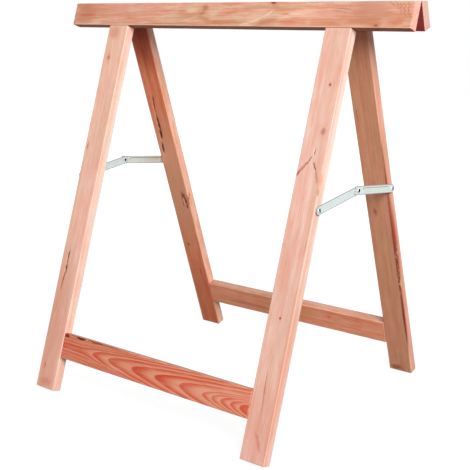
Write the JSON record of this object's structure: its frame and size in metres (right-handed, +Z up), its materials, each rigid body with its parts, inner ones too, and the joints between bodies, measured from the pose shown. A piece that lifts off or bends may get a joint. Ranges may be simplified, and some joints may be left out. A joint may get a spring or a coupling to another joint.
{
  "type": "work trestle",
  "caption": "Folding timber work trestle: hinged A-frame with level ridge rails, legs, lower rails and a folding steel stay at each end.",
  "frame": {"origin": "on the floor, under the middle of the ridge, with the trestle standing open", "axes": "+X along the ridge to the right end, -Y towards the front frame, +Z up"},
  "size_m": [0.775, 0.549, 0.75],
  "materials": {
    "larch": "planed, thin clear oil",
    "beech": "plain",
    "zinc_plate": "bright zinc plate"
  },
  "bodies": {
    "front_frame": {"front_ridge_rail": "larch", "front_left_leg": "larch", "front_right_leg": "larch", "front_lower_rail": "larch", "front_left_leg_dowel_1": "beech", "front_left_leg_dowel_2": "beech", "front_right_leg_dowel_1": "beech", "front_right_leg_dowel_2": "beech", "front_left_rail_dowel_1": "beech", "front_left_rail_dowel_2": "beech", "front_right_rail_dowel_1": "beech", "front_right_rail_dowel_2": "beech", "left_hinge_front_leaf": "zinc_plate", "right_hinge_front_leaf": "zinc_plate", "left_hinge_pin": "zinc_plate", "right_hinge_pin": "zinc_plate", "left_hinge_front_screw_1": "zinc_plate", "left_hinge_front_screw_2": "zinc_plate", "left_hinge_front_screw_3": "zinc_plate", "right_hinge_front_screw_1": "zinc_plate", "right_hinge_front_screw_2": "zinc_plate", "right_hinge_front_screw_3": "zinc_plate", "left_stay_front_screw": "zinc_plate", "right_stay_front_screw": "zinc_plate", "left_stay_front_washer": "zinc_plate", "right_stay_front_washer": "zinc_plate"},
    "back_frame": {"back_ridge_rail": "larch", "back_left_leg": "larch", "back_right_leg": "larch", "back_lower_rail": "larch", "back_left_leg_dowel_1": "beech", "back_left_leg_dowel_2": "beech", "back_right_leg_dowel_1": "beech", "back_right_leg_dowel_2": "beech", "back_left_rail_dowel_1": "beech", "back_left_rail_dowel_2": "beech", "back_right_rail_dowel_1": "beech", "back_right_rail_dowel_2": "beech", "left_hinge_back_leaf": "zinc_plate", "right_hinge_back_leaf": "zinc_plate", "left_hinge_back_screw_1": "zinc_plate", "left_hinge_back_screw_2": "zinc_plate", "left_hinge_back_screw_3": "zinc_plate", "right_hinge_back_screw_1": "zinc_plate", "right_hinge_back_screw_2": "zinc_plate", "right_hinge_back_screw_3": "zinc_plate", "left_stay_back_screw": "zinc_plate", "right_stay_back_screw": "zinc_plate", "left_stay_back_spacer": "zinc_plate", "right_stay_back_spacer": "zinc_plate"},
    "left_front_arm": {"left_stay_front_arm": "zinc_plate", "left_stay_rivet_tail": "zinc_plate"},
    "left_back_arm": {"left_stay_back_arm": "zinc_plate", "left_stay_rivet_head": "zinc_plate"},
    "right_front_arm": {"right_stay_front_arm": "zinc_plate", "right_stay_rivet_tail": "zinc_plate"},
    "right_back_arm": {"right_stay_back_arm": "zinc_plate", "right_stay_rivet_head": "zinc_plate"}
  },
  "joints": [
    {"name": "fold", "type": "hinge", "parent": "front_frame", "child": "back_frame", "pos_m": [0, 0, 0.74663], "axis": [-1, 0, 0], "range_deg": [0, 37.6]},
    {"name": "left_front_arm_swing", "type": "hinge", "parent": "front_frame", "child": "left_front_arm", "pos_m": [-0.2795, -0.12579, 0.41233], "axis": [1, 0, 0], "range_deg": [0, 59.31]},
    {"name": "right_front_arm_swing", "type": "hinge", "parent": "front_frame", "child": "right_front_arm", "pos_m": [0.2795, -0.12579, 0.41233], "axis": [1, 0, 0], "range_deg": [0, 59.31]},
    {"name": "left_back_arm_swing", "type": "hinge", "parent": "back_frame", "child": "left_back_arm", "pos_m": [-0.2795, 0.12579, 0.41233], "axis": [-1, 0, 0], "range_deg": [0, 59.31]},
    {"name": "right_back_arm_swing", "type": "hinge", "parent": "back_frame", "child": "right_back_arm", "pos_m": [0.2795, 0.12579, 0.41233], "axis": [-1, 0, 0], "range_deg": [0, 59.31]}
  ],
  "couplings": [
    {"joint": "left_front_arm_swing", "follows": "fold", "ratio": 1.5772},
    {"joint": "right_front_arm_swing", "follows": "fold", "ratio": 1.5772},
    {"joint": "left_back_arm_swing", "follows": "fold", "ratio": 1.5772},
    {"joint": "right_back_arm_swing", "follows": "fold", "ratio": 1.5772}
  ]
}
